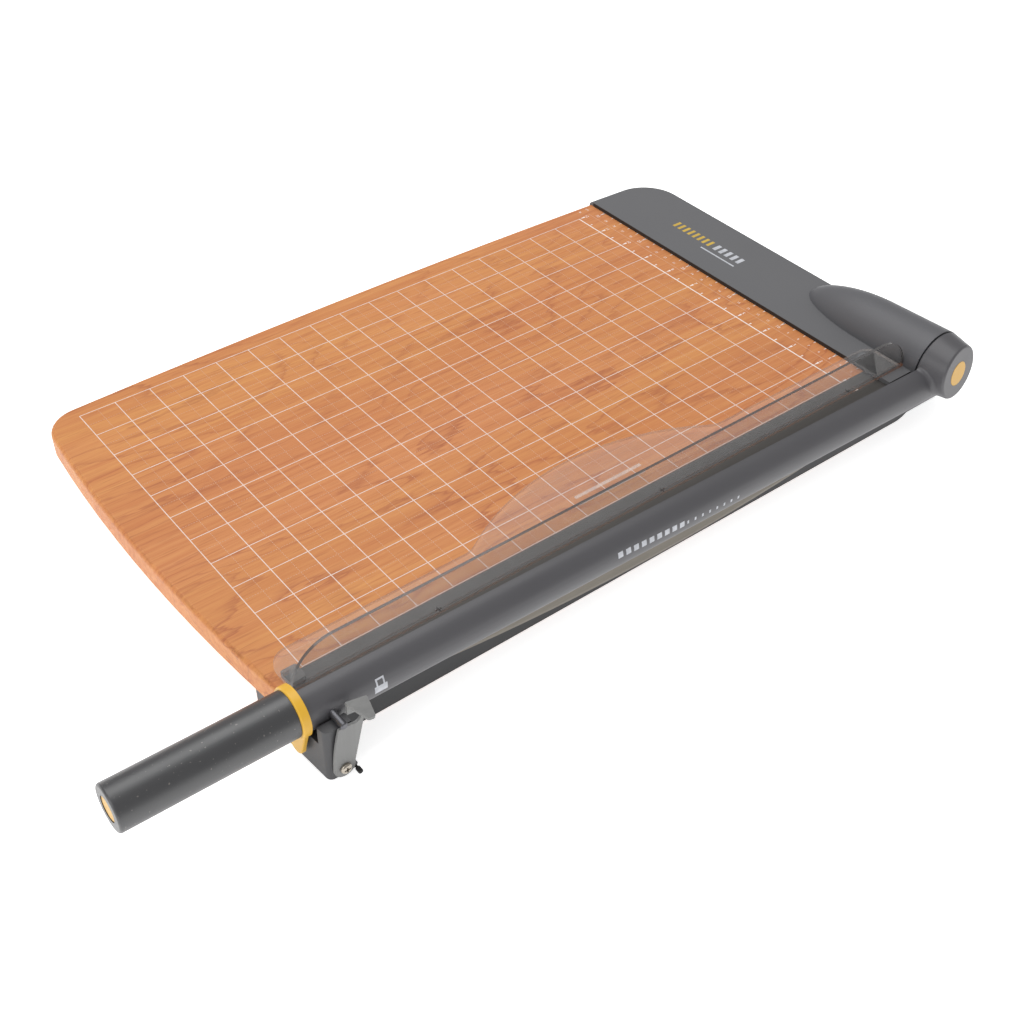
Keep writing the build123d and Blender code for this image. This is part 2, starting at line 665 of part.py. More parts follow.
def make_guard():
    low_x, high_x = GUARD_X
    base = box((low_x, high_x - 2.5), (WALL_Y, FOOT_FAR_Y), (GUARD_LIFT, GUARD_LIFT + GUARD_T))
    base = fillet(base.edges().filter_by(Axis.Z).sort_by(Axis.Y)[-2:].sort_by(Axis.X)[0], 13)
    base = fillet(base.edges().filter_by(Axis.Z).sort_by(Axis.Y)[-1], 9)
    lobe = Pos(LOBE_X, LOBE_PEAK_Y - LOBE_R, GUARD_LIFT + GUARD_T / 2) * Cylinder(LOBE_R, GUARD_T)
    lobe &= box((0, 460), (FOOT_FAR_Y - 5, BACK), (0, 20))
    foot = base + lobe
    joints = foot.edges().filter_by(Axis.Z)
    joints = [e for e in joints if abs(e.center().Y - FOOT_FAR_Y) < 0.1 and 60 < e.center().X < 400]
    foot = fillet(joints, 16)
    wall = box(GUARD_X, (WALL_Y - GUARD_T, WALL_Y), (GUARD_LIFT, GUARD_LIFT + GUARD_H))
    wall = fillet(wall.edges().filter_by(Axis.Y).sort_by(Axis.Z)[-2:], GUARD_H - 0.1)
    return foot + wall - make_guard_tape()


def make_guard_spacer():
    spacer = box((-12.8, -2.6), (-289.0, -277.5), (0, GUARD_LIFT))
    return fillet(spacer.edges().filter_by(Axis.Z), 1.5)


def make_guard_tape():
    return box((453.5, 474.0), (-292.5, -271.5), (GUARD_LIFT, GUARD_LIFT + 0.2))


def make_front_pads():
    pads = [Pos(x, y, STAND_Z + PAD_T / 2) * Cylinder(PAD_R, PAD_T) for x, y in FRONT_PADS]
    return Compound(children=pads)


def make_rear_feet():
    feet = []
    for x, y in REAR_FEET:
        top = -CAP_DEPTH if x > CAP_X else -BOARD_T
        height = top - STAND_Z
        foot = Pos(x, y, STAND_Z + height / 2) * Cone(FOOT_R, FOOT_R + 2, height)
        foot -= Pos(x, y, STAND_Z + 3) * Cylinder(4, 8)
        foot -= Pos(x, y, 0) * Cylinder(1.5, 80)
        feet.append(foot)
    return Compound(children=feet)


def make_foot_screws():
    screw = Rot(180, 0, 0) * pan_screw(1.5, 21, 3.4, 2.2)
    return Compound(children=[Pos(x, y, STAND_Z + 7) * screw for x, y in REAR_FEET])


PIECES = {
    "board": make_board,
    "bed_knife": make_bed_knife,
    "bed_knife_screws": make_knife_screws,
    "rail": make_rail,
    "rail_screws": make_rail_screws,
    "end_cap": make_end_cap,
    "cap_screws": make_cap_screws,
    "pivot_leg": make_pivot_leg,
    "leg_screws": make_leg_screws,
    "pivot_housing": make_pivot_housing,
    "housing_screw": make_housing_screw,
    "pivot_bracket": make_pivot_bracket,
    "bracket_screws": make_bracket_screws,
    "pivot_shaft": make_pivot_shaft,
    "spring_washers": make_spring_washers,
    "lock_nut": make_lock_nut,
    "thrust_washer": make_thrust_washer,
    "return_spring": make_return_spring,
    "arm": make_arm,
    "pivot_bush": make_pivot_bush,
    "hub_disc": make_hub_disc,
    "blade": make_blade,
    "blade_screws": make_blade_screws,
    "lock_pin": make_lock_pin,
    "yellow_ring": make_yellow_ring,
    "handle_grip": make_handle_grip,
    "handle_rod": make_handle_rod,
    "handle_plug": make_handle_plug,
    "latch": make_latch,
    "latch_screw": make_latch_screw,
    "latch_washer": make_latch_washer,
    "latch_spring": make_latch_spring,
    "latch_stop": make_latch_stop,
    "end_block": make_end_block,
    "block_screws": make_block_screws,
    "guard": make_guard,
    "guard_spacer": make_guard_spacer,
    "guard_tape": make_guard_tape,
    "front_pads": make_front_pads,
    "rear_feet": make_rear_feet,
    "foot_screws": make_foot_screws,
}


def main():
    os.makedirs("parts", exist_ok=True)
    made = {name: make() for name, make in PIECES.items()}
    boxes = [piece.bounding_box() for piece in made.values()]
    middle_x = (min(b.min.X for b in boxes) + max(b.max.X for b in boxes)) / 2
    middle_y = (min(b.min.Y for b in boxes) + max(b.max.Y for b in boxes)) / 2
    for name, piece in made.items():
        export_step(Pos(-middle_x, -middle_y, -STAND_Z) * piece, f"parts/{name}.step")
    print("origin shift", round(-middle_x, 3), round(-middle_y, 3), -STAND_Z)


if __name__ == "__main__":
    main()
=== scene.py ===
import math

import bpy
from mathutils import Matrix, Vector


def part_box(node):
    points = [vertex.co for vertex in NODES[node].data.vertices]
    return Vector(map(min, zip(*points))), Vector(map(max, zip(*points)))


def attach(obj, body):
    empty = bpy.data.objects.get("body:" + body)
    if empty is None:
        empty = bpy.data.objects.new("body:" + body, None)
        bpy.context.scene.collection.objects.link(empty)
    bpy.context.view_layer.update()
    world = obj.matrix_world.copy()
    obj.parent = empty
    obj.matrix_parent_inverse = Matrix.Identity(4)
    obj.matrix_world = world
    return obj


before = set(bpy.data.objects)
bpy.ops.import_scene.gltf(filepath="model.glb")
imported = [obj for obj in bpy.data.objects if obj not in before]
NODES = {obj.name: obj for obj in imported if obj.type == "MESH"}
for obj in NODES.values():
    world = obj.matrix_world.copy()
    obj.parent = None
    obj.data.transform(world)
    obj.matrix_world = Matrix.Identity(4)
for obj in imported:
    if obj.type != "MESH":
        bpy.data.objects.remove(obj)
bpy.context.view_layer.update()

# Looks of a guillotine paper cutter, in metres, in the CAD model's own frame.
# X runs along the cutting edge towards the pivot, Y from the blade to the far edge.

MM = 0.001
INCH = 0.0254

# Where the CAD pieces lie.
KNIFE_LOW, KNIFE_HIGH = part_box("bed_knife")
CAP_LOW, CAP_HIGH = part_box("end_cap")
GUARD_LOW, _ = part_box("guard")
ARM_LOW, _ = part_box("arm")
CUT_EDGE_Y = KNIFE_LOW.y
BOARD_TOP = KNIFE_HIGH.z
CAP_FLAT_TOP = BOARD_TOP + 3 * MM       # beside the raised housing
GUARD_FOOT_TOP = GUARD_LOW.z + 2 * MM

# The printed grid.
COLUMNS, ROWS = 17, 11
GRID_X = KNIFE_LOW.x + 12 * MM          # the first ruled line, at the left
GRID_Y = CUT_EDGE_Y + 12 * INCH + 0.5 * MM  # the far ruled line
GRID_RIGHT = GRID_X + COLUMNS * INCH
GRID_NEAR = KNIFE_HIGH.y
LINE_WIDTH = 0.6 * MM
FAINT_WIDTH = 0.3 * MM
DASH = 1.1 * MM
DASH_PITCH = INCH / 14
CM = 10 * MM
FIRST_CM, LAST_CM = 3, 30

# Ink sits this far into and above the surface that it is printed on.
INK_SINK = 0.02 * MM
INK_RISE = 0.04 * MM
INK_LOW = BOARD_TOP - INK_SINK
INK_HIGH = BOARD_TOP + 0.05 * MM

# The studio.
FLOOR_SIZE = 14
FLOOR_GLOW = 0.7
ROOM_LIGHT = 0.55
OVERHEAD_WATTS = 28
LEFT_WATTS = 11
LENS_MM = 48.577
SENSOR_MM = 36
EYE_FROM_GRID = Vector((-0.227388, -0.74501, 0.56003))
EYE_TURN_DEG = (48.5891, -0.6366, -38.0189)


# ------------------------------------------------------------------ modelling

def deselect():
    for item in bpy.context.selected_objects:
        item.select_set(False)


def active():
    return bpy.context.object


def only(item):
    deselect()
    item.select_set(True)
    bpy.context.view_layer.objects.active = item


def settle(item):
    """Put the object's place, turn and size into its mesh."""
    only(item)
    bpy.ops.object.transform_apply(location=True, rotation=True, scale=True)
    return item


def slab(name, x, y, z):
    """A flat-sided block between three (low, high) pairs."""
    deselect()
    middle = [(low + high) / 2 for low, high in (x, y, z)]
    bpy.ops.mesh.primitive_cube_add(size=1, location=middle)
    block = active()
    block.scale = [high - low for low, high in (x, y, z)]
    block.name = name
    return settle(block)


def repeat(item, count, step):
    """Copies of a piece in a row, joined in one mesh."""
    if count < 2:
        return item
    only(item)
    row = item.modifiers.new("row", "ARRAY")
    row.use_relative_offset = False
    row.use_constant_offset = True
    row.constant_offset_displace = step
    row.count = count
    bpy.ops.object.modifier_apply(modifier=row.name)
    return item


def join(name, items):
    deselect()
    for item in items:
        item.select_set(True)
    bpy.context.view_layer.objects.active = items[0]
    bpy.ops.object.join()
    whole = active()
    whole.name = name
    return whole


def finish_piece(item, body, material):
    item.data.materials.clear()
    item.data.materials.append(material)
    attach(item, body)


# ------------------------------------------------------------------ finishes

class Nodes:
    """A new material with its shader, and short ways to add nodes to it."""

    def __init__(self, name, **settings):
        self.material = bpy.data.materials.new(name)
        self.material.use_nodes = True
        self.tree = self.material.node_tree
        self.shader = next(n for n in self.tree.nodes if n.type == "BSDF_PRINCIPLED")
        for key, value in settings.items():
            self.shader.inputs[key.replace("_", " ")].default_value = value
        self.place = self.add("ShaderNodeTexCoord").outputs["Object"]

    def add(self, kind, **inputs):
        node = self.tree.nodes.new(kind)
        for key, value in inputs.items():
            self.put(node.inputs[key.replace("_", " ")], value)
        return node

    def put(self, socket, value):
        if isinstance(value, bpy.types.NodeSocket):
            self.tree.links.new(value, socket)
        else:
            socket.default_value = value

    def stretched(self, scale, shift=(0, 0, 0)):
        """Object coordinates, scaled and then shifted."""
        node = self.add("ShaderNodeMapping", Vector=self.place)
        node.inputs["Scale"].default_value = scale
        node.inputs["Location"].default_value = shift
        return node.outputs["Vector"]

    def noise(self, vector, scale=1.0, detail=3.0, roughness=0.5, warp=0.0):
        node = self.add("ShaderNodeTexNoise", Vector=vector, Scale=scale, Detail=detail,
                        Roughness=roughness, Distortion=warp)
        return node.outputs["Fac"]

    def maths(self, operation, first, second=0.0):
        node = self.tree.nodes.new("ShaderNodeMath")
        node.operation = operation
        self.put(node.inputs[0], first)
        self.put(node.inputs[1], second)
        return node.outputs[0]

    def spread(self, value, low, high, to_low=0.0, to_high=1.0):
        """Stretch low to high over to_low to to_high, and clamp what lies outside."""
        node = self.add("ShaderNodeMapRange", Value=value)
        ends = {"From Min": low, "From Max": high, "To Min": to_low, "To Max": to_high}
        for key, end in ends.items():
            node.inputs[key].default_value = end
        return node.outputs["Result"]

    def mix(self, factor, first, second):
        node = self.tree.nodes.new("ShaderNodeMix")
        node.data_type = "RGBA"
        self.put(node.inputs["Factor"], factor)
        self.put(node.inputs["A"], first)
        self.put(node.inputs["B"], second)
        return node.outputs["Result"]

    def colour(self, value):
        self.put(self.shader.inputs["Base Color"], value)

    def rough(self, value):
        self.put(self.shader.inputs["Roughness"], value)

    def relief(self, height, depth, strength=1.0):
        """Bump from a height of 0 to 1 that is depth metres deep."""
        node = self.add("ShaderNodeBump", Height=height, Strength=strength, Distance=depth)
        self.put(self.shader.inputs["Normal"], node.outputs["Normal"])

    def axis(self, index):
        node = self.add("ShaderNodeSeparateXYZ", Vector=self.place)
        return node.outputs[index]


def srgb(red, green, blue):
    """A colour given as 0 to 255 screen values, as the shader's linear one."""
    def linear(value):
        value /= 255
        return value / 12.92 if value <= 0.04045 else ((value + 0.055) / 1.055) ** 2.4
    return (linear(red), linear(green), linear(blue), 1.0)


def shaded(colour, factor):
    """A colour made darker or lighter, opaque."""
    return [min(1.0, channel * factor) for channel in colour[:3]] + [1.0]


def cherry_veneer():
    """Flat-sawn cherry print under a dull lacquer, its grain along X."""
    honey, amber = srgb(212, 150, 86), srgb(206, 138, 88)
    band_tone, fibre_tone = srgb(192, 122, 72), srgb(184, 110, 66)
    late_tone, pore_tone = srgb(146, 72, 50), srgb(158, 92, 56)
    wood = Nodes("cherry_veneer", Specular_IOR_Level=0.3)
    late = wood.maths("MULTIPLY", growth_lines(wood), grain_strength(wood))
    fibre = wood.noise(wood.stretched((8.0, 260.0, 260.0)), 1.0, 6.0, 0.68, 0.2)
    patch = wood.noise(wood.stretched((3.2, 13.0, 13.0), shift=(0.4, 0.9, 0)), 1.0, 4.0, 0.55, 0.5)
    band = wood.noise(wood.stretched((1.2, 42.0, 42.0), shift=(0.1, 0.3, 0)), 1.0, 3.0, 0.5)
    body = wood.mix(wood.spread(patch, 0.36, 0.64), honey, amber)
    body = wood.mix(wood.spread(band, 0.36, 0.66, 0.0, 0.5), body, band_tone)
    body = wood.mix(wood.spread(fibre, 0.36, 0.68, 0.0, 0.7), body, fibre_tone)
    body = wood.mix(late, body, late_tone)
    pores = wood.noise(wood.stretched((45.0, 1100.0, 1100.0)), 1.0, 2.0, 0.5)
    body = wood.mix(wood.spread(pores, 0.56, 0.74, 0.0, 0.45), body, pore_tone)
    wood.colour(body)
    wood.rough(wood.spread(fibre, 0.3, 0.7, 0.44, 0.56))
    wood.relief(fibre, 0.05 * MM, 0.3)
    return wood.material


def growth_lines(wood):
    """Thin dark lines along the contours of a slow height field: nested flames."""
    slow = wood.noise(wood.stretched((3.4, 15.0, 15.0), shift=(0.73, 0.15, 0)), 1.0, 2.0, 0.4, 0.2)
    waver = wood.noise(wood.stretched((22.0, 170.0, 170.0)), 1.0, 3.0, 0.55)
    lines_in_slow, lines_in_waver, lines_per_metre = 13.0, 1.1, 34.0
    height = wood.maths("MULTIPLY", slow, lines_in_slow)
    height = wood.maths("ADD", height, wood.maths("MULTIPLY", waver, lines_in_waver))
    height = wood.maths("ADD", height, wood.maths("MULTIPLY", wood.axis(1), lines_per_metre))
    height = wood.maths("ADD", height, knot(wood, 175 * MM, -12 * MM))
    ring = wood.maths("FRACT", height)
    darkest = 0.93
    rise = wood.spread(ring, 0.62, darkest)
    fall = wood.spread(ring, 1.0, darkest)
    return wood.maths("MULTIPLY", wood.maths("POWER", rise, 2.8), fall)


def knot(wood, x, y):
    """A small eye that the growth lines run round, x and y from the grid's corner."""
    along, across = 26.0, 68.0
    middle = (-along * (GRID_X + x), -across * (GRID_Y + y), 0.0)
    reach = wood.tree.nodes.new("ShaderNodeVectorMath")
    reach.operation = "LENGTH"
    wood.put(reach.inputs[0], wood.stretched((along, across, 0.0), middle))
    return wood.maths("POWER", wood.spread(reach.outputs["Value"], 1.0, 0.0), 1.5)


def grain_strength(wood):
    where = wood.noise(wood.stretched((3.4, 11.0, 11.0), shift=(1.7, 0.35, 0)), 1.0, 2.0)
    return wood.spread(where, 0.4, 0.64, 0.2, 0.52)


def moulded(name, colour, rough=0.55, grain=2600.0, depth=0.04 * MM,
            specular=0.45, mottle=0.06, specks=0.0):
    """Injection-moulded plastic with a fine spark-etched grain, and dust specks if asked."""
    plastic = Nodes(name, Specular_IOR_Level=specular)
    etch = plastic.noise(plastic.place, grain, 2.0, 0.6)
    cloud = plastic.noise(plastic.place, 22.0, 3.0, 0.55)
    tone = plastic.mix(cloud, shaded(colour, 1 - mottle), shaded(colour, 1 + mottle))
    if specks:
        dust = plastic.noise(plastic.place, 620.0, 1.0, 0.4)
        dust_tone = srgb(150, 144, 136)
        tone = plastic.mix(plastic.spread(dust, 0.72, 0.76, 0.0, specks), tone, dust_tone)
    plastic.colour(tone)
    plastic.rough(plastic.spread(cloud, 0.3, 0.7, rough - 0.04, rough + 0.04))
    plastic.relief(etch, depth)
    return plastic.material


def ground_steel(name, colour, along=(3.0, 500.0, 500.0), rough=0.34, metal=1.0):
    """Ground metal with its scratches along one way."""
    steel = Nodes(name, Metallic=metal)
    scratch = steel.noise(steel.stretched(along), 1.0, 4.0, 0.65)
    stain = steel.noise(steel.place, 30.0, 4.0, 0.6)
    dark = shaded(colour, 0.8)
    tone = steel.mix(steel.spread(scratch, 0.3, 0.7), dark, colour)
    steel.colour(steel.mix(steel.spread(stain, 0.45, 0.75, 0.0, 0.25), tone, dark))
    steel.rough(steel.spread(scratch, 0.3, 0.7, rough - 0.07, rough + 0.09))
    steel.relief(scratch, 0.02 * MM, 0.5)
    return steel.material


def printed_ink(name, strong, worn_off, alpha=1.0):
    """Screen-printed ink that has worn a little unevenly."""
    ink = Nodes(name, Roughness=0.5, Alpha=alpha)
    worn = ink.noise(ink.place, 260.0, 3.0, 0.6)
    ink.colour(ink.mix(ink.spread(worn, 0.35, 0.7), strong, worn_off))
    return ink.material


def clear_guard():
    """Clear acrylic: faces that hardly veil what is behind, with painted light on the guard:
    painted shade on the upright wall and darker on its cut edges, a painted highlight on the
    foot's cut edges and a painted reflection of the wood along the fold.
    """
    clear = Nodes("clear_guard", Roughness=0.12, IOR=1.49)
    facing = clear.add("ShaderNodeTexCoord").outputs["Normal"]
    normal = clear.add("ShaderNodeSeparateXYZ", Vector=facing)
    across = clear.maths("ABSOLUTE", normal.outputs["Y"])
    upright = clear.maths("ABSOLUTE", normal.outputs["Z"])
    turned = 0.6
    on_wall = clear.maths("GREATER_THAN", clear.axis(2), GUARD_FOOT_TOP + 0.3 * MM)
    on_foot = clear.maths("SUBTRACT", 1.0, on_wall)
    near_fold = clear.maths("LESS_THAN", clear.axis(1), GUARD_LOW.y + 2.2 * MM)
    wall_edge = clear.maths("MULTIPLY", on_wall, clear.maths("LESS_THAN", across, turned))
    foot_edge = clear.maths("MULTIPLY", on_foot, clear.maths("LESS_THAN", upright, turned))
    fold_reflection = clear.maths("MULTIPLY", foot_edge, near_fold)
    cloud = clear.noise(clear.place, 40.0, 3.0, 0.6)
    tone = clear.mix(cloud, srgb(206, 208, 212), srgb(196, 196, 198))
    # Painted shade: the upright wall's faces are tinted a darker grey than the foot.
    tone = clear.mix(on_wall, tone, srgb(110, 106, 102))
    # Painted shade: the wall's cut edges are a near-opaque dark grey.
    tone = clear.mix(wall_edge, tone, srgb(78, 76, 76))
    # Painted highlight: a pale cream rim on the foot's cut edges.
    tone = clear.mix(foot_edge, tone, srgb(206, 190, 178))
    # Painted reflection: the wood's orange along the foot's edges next to the fold.
    tone = clear.mix(fold_reflection, tone, srgb(196, 128, 84))
    clear.colour(tone)
    alpha = clear.spread(cloud, 0.3, 0.7, 0.07, 0.1)
    for part, veil in ((wall_edge, 0.75), (foot_edge, 0.3), (on_wall, 0.04)):
        alpha = clear.maths("ADD", alpha, clear.maths("MULTIPLY", part, veil))
    clear.put(clear.shader.inputs["Alpha"], alpha)
    return clear.material


def frosted(name, colour, alpha):
    """A rubbed, half-clear pad."""
    pad = Nodes(name, Roughness=0.6, Alpha=alpha)
    rubbed = pad.noise(pad.place, 900.0, 4.0, 0.7)
    pad.colour(pad.mix(pad.spread(rubbed, 0.35, 0.65), shaded(colour, 0.7), colour))
    pad.relief(rubbed, 0.1 * MM)
    return pad.material


# ------------------------------------------------------------------ paint the CAD pieces

CHERRY = cherry_veneer()
WHITE_INK = printed_ink("white_ink", srgb(232, 212, 202), srgb(218, 190, 174))
RULER_INK = printed_ink("ruler_ink", srgb(246, 236, 230), srgb(232, 214, 204))
FAINT_INK = printed_ink("faint_ink", srgb(214, 170, 142), srgb(206, 156, 122))
MARK_WHITE = printed_ink("mark_white", srgb(196, 198, 204), srgb(176, 178, 184))
MARK_YELLOW = printed_ink("mark_yellow", srgb(206, 172, 66), srgb(190, 156, 60))
GUARD_INK = printed_ink("guard_ink", srgb(226, 220, 216), srgb(210, 202, 198), 0.3)
CAP_GREY = moulded("cap_grey", srgb(97, 97, 99), 0.62, 2200.0, 0.05 * MM)
ARM_GREY = moulded("arm_lacquer", srgb(78, 77, 80), 0.4, 900.0, 0.01 * MM, 0.5, 0.04)
HOUSING_GREY = moulded("housing_grey", srgb(88, 88, 91), 0.46, 1500.0, 0.02 * MM)
GRIP_BLACK = moulded("grip_black", srgb(46, 46, 48), 0.36, 2600.0, 0.06 * MM, 0.9, 0.06, 0.35)
BLOCK_BLACK = moulded("block_black", srgb(66, 66, 68), 0.5, 2000.0, 0.03 * MM)
RAIL_BLACK = moulded("rail_black", srgb(40, 40, 42), 0.42, 1200.0, 0.02 * MM)
YELLOW = moulded("trim_yellow", srgb(222, 172, 50), 0.4, 1600.0, 0.02 * MM)
PALE_YELLOW = moulded("disc_yellow", srgb(206, 160, 66), 0.42, 1600.0, 0.02 * MM)
BUSH_WHITE = moulded("bush_white", srgb(222, 220, 212), 0.4)
PAD_RUBBER = moulded("pad_rubber", srgb(34, 34, 35), 0.8, 1800.0, 0.08 * MM)
# Near-black painted shadow for the upright face of the cap's step.
SHADOW_STRIP = moulded("step_strip", srgb(40, 37, 35), 0.7)
KNIFE_STEEL = ground_steel("knife_steel", srgb(84, 81, 78), rough=0.5, metal=0.5)
BLADE_STEEL = ground_steel("blade_coating", srgb(132, 126, 116), (60.0, 60.0, 400.0), 0.5, 0.5)
LATCH_STEEL = ground_steel("latch_steel", srgb(134, 134, 133), (120.0, 300.0, 6.0), 0.55, 0.2)
PIN_STEEL = ground_steel("pin_steel", srgb(104, 104, 108), (200.0, 8.0, 200.0), 0.35, 0.9)
BRIGHT_STEEL = ground_steel("screw_steel", srgb(180, 172, 160), (400.0, 400.0, 400.0), 0.28)
CLEAR_GUARD = clear_guard()
FROSTED = frosted("frosted_pad", srgb(138, 137, 136), 0.85)
SPACER = frosted("spacer_pad", srgb(140, 138, 136), 0.7)

PAINT = {
    "board": CHERRY,
    "bed_knife": KNIFE_STEEL,
    "rail": RAIL_BLACK,
    "end_cap": CAP_GREY,
    "pivot_leg": CAP_GREY,
    "pivot_housing": HOUSING_GREY,
    "pivot_bracket": RAIL_BLACK,
    "arm": ARM_GREY,
    "hub_disc": PALE_YELLOW,
    "blade": BLADE_STEEL,
    "yellow_ring": YELLOW,
    "handle_grip": GRIP_BLACK,
    "handle_plug": PALE_YELLOW,
    "latch": LATCH_STEEL,
    "end_block": BLOCK_BLACK,
    "guard": CLEAR_GUARD,
    "guard_spacer": SPACER,
    "latch_washer": PIN_STEEL,
    "lock_pin": PIN_STEEL,
    "bed_knife_screws": KNIFE_STEEL,
    "guard_tape": FROSTED,
    "front_pads": PAD_RUBBER,
    "rear_feet": PAD_RUBBER,
    "latch_stop": PAD_RUBBER,
    "pivot_bush": BUSH_WHITE,
    "thrust_washer": BUSH_WHITE,
}

for name, node in NODES.items():
    node.data.materials.clear()
    node.data.materials.append(PAINT.get(name, BRIGHT_STEEL))


# ------------------------------------------------------------------ printed grid

def line_along_x(name, x, y, width):
    return slab(name, x, (y - width / 2, y + width / 2), (INK_LOW, INK_HIGH))


def line_along_y(name, x, y, width, above=0.012 * MM):
    """A line a little higher than those that it crosses."""
    return slab(name, (x - width / 2, x + width / 2), y, (INK_LOW, INK_HIGH + above))


def inch_grid():
    down = line_along_y("down", GRID_X, (GRID_NEAR, GRID_Y), LINE_WIDTH)
    repeat(down, COLUMNS, (INCH, 0, 0))
    across = line_along_x("across", (GRID_X, GRID_RIGHT + 2 * MM), GRID_Y, LINE_WIDTH)
    repeat(across, ROWS + 1, (0, -INCH, 0))
    return join("grid_inches", [down, across])


def half_inch_dots():
    """Broken lines half-way between the inch lines."""
    down = line_along_y("dots_down", GRID_X + INCH / 2, (GRID_Y - DASH, GRID_Y), FAINT_WIDTH)
    repeat(down, int((GRID_Y - GRID_NEAR) / DASH_PITCH), (0, -DASH_PITCH, 0))
    repeat(down, COLUMNS, (INCH, 0, 0))
    across = line_along_x("dots_across", (GRID_X, GRID_X + DASH), GRID_Y - INCH / 2, FAINT_WIDTH)
    repeat(across, int(COLUMNS * INCH / DASH_PITCH), (DASH_PITCH, 0, 0))
    repeat(across, ROWS, (0, -INCH, 0))
    return join("grid_half_inches", [down, across])


def wedge(name, x, y, width):
    """A pointer that narrows towards the low end of x."""
    piece = slab(name, x, (y - width / 2, y + width / 2), (INK_LOW, INK_HIGH))
    bpy.ops.object.mode_set(mode="EDIT")
    bpy.ops.mesh.select_all(action="DESELECT")
    bpy.ops.object.mode_set(mode="OBJECT")
    for vertex in piece.data.vertices:
        vertex.select = vertex.co.x < sum(x) / 2
    bpy.ops.object.mode_set(mode="EDIT")
    bpy.ops.transform.resize(value=(1, 0.1, 1), center_override=(x[0], y, INK_LOW))
    bpy.ops.object.mode_set(mode="OBJECT")
    return piece


def number(text, x, y, size):
    """Ruler figures that read along -Y, their feet towards -X."""
    deselect()
    bpy.ops.object.text_add(location=(x, y, INK_LOW), rotation=(0, 0, -math.pi / 2))
    figure = active()
    figure.data.body = str(text)
    figure.data.size = size
    figure.data.align_x = "CENTER"
    figure.data.align_y = "CENTER"
    figure.data.extrude = (INK_HIGH - INK_LOW) / 2
    figure.data.resolution_u = 3
    figure.location.z = (INK_LOW + INK_HIGH) / 2  # it is extruded both ways
    only(figure)
    bpy.ops.object.convert(target="MESH")
    return settle(active())


def inch_ruler():
    right, figure_x = GRID_RIGHT, GRID_RIGHT + 8 * MM
    side = line_along_y("side", right + 0.15 * MM, (GRID_NEAR, GRID_Y), 0.9 * MM, 0.02 * MM)
    marks = wedge("inch_mark", (right + 1.2 * MM, right + 5.8 * MM), GRID_Y, 1.7 * MM)
    repeat(marks, ROWS + 1, (0, -INCH, 0))
    halves = wedge("half_mark", (right + 0.4 * MM, right + 3.2 * MM), GRID_Y - INCH / 2, 1.2 * MM)
    repeat(halves, ROWS + 1, (0, -INCH, 0))
    figures = [number(ROWS + 1 - row, figure_x, GRID_Y - row * INCH, 3.8 * MM)
               for row in range(ROWS + 1)]
    unit = number("in", figure_x, GRID_Y + 8 * MM, 3.4 * MM)
    return join("ruler_inches", [side, marks, halves, unit] + figures)


def centimetre_ruler():
    right = CAP_LOW.x - 0.4 * MM
    figure_x = right - 7.4 * MM
    ticks = wedge("cm_tick", (right - 2.4 * MM, right), CUT_EDGE_Y + FIRST_CM * CM, 0.9 * MM)
    repeat(ticks, LAST_CM - FIRST_CM + 1, (0, CM, 0))
    fives = wedge("cm_five", (right - 5.0 * MM, right), CUT_EDGE_Y + 5 * CM, 1.6 * MM)
    repeat(fives, LAST_CM // 5, (0, 5 * CM, 0))
    pieces = [ticks, fives]
    for cm in range(FIRST_CM, LAST_CM + 1):
        size = 2.7 * MM if cm % 5 else 3.8 * MM
        pieces.append(number(cm, figure_x, CUT_EDGE_Y + cm * CM, size))
    pieces.append(number("cm", figure_x, GRID_Y + 8 * MM, 3.0 * MM))
    return join("ruler_centimetres", pieces)


def ruler_border():
    """The thin line between the two rulers."""
    length = (GRID_NEAR, GRID_Y + 2 * MM)
    return line_along_y("ruler_border", GRID_RIGHT + 11.7 * MM, length, 0.35 * MM)


finish_piece(inch_grid(), "base", WHITE_INK)
finish_piece(half_inch_dots(), "base", FAINT_INK)
finish_piece(inch_ruler(), "base", RULER_INK)
finish_piece(centimetre_ruler(), "base", RULER_INK)
finish_piece(ruler_border(), "base", FAINT_INK)


# ------------------------------------------------------------------ plain marks

def bars(name, x, y, z, count, pitch):
    """A row of plain bars that steps along -Y."""
    return repeat(slab(name, x, y, z), count, (0, -pitch, 0))


def cap_marks():
    """Plain bars on the cap's top: a yellow row, a white row and a thin line."""
    left, top = GRID_X + 482 * MM, GRID_Y - 56 * MM
    height = (CAP_FLAT_TOP - INK_SINK, CAP_FLAT_TOP + INK_RISE)
    across = (left, left + 8 * MM)
    yellow = bars("cap_mark_yellow", across, (top - 2.6 * MM, top), height, 8, 5.4 * MM)
    white_top = top - 45 * MM
    white = bars("cap_mark_white", across, (white_top - 3.4 * MM, white_top), height, 5, 6.2 * MM)
    line_x = (left - 6.0 * MM, left - 4.6 * MM)
    line = slab("cap_line", line_x, (top - 74 * MM, top - 38 * MM), height)
    finish_piece(yellow, "base", MARK_YELLOW)
    finish_piece(join("cap_mark_white", [white, line]), "base", MARK_WHITE)


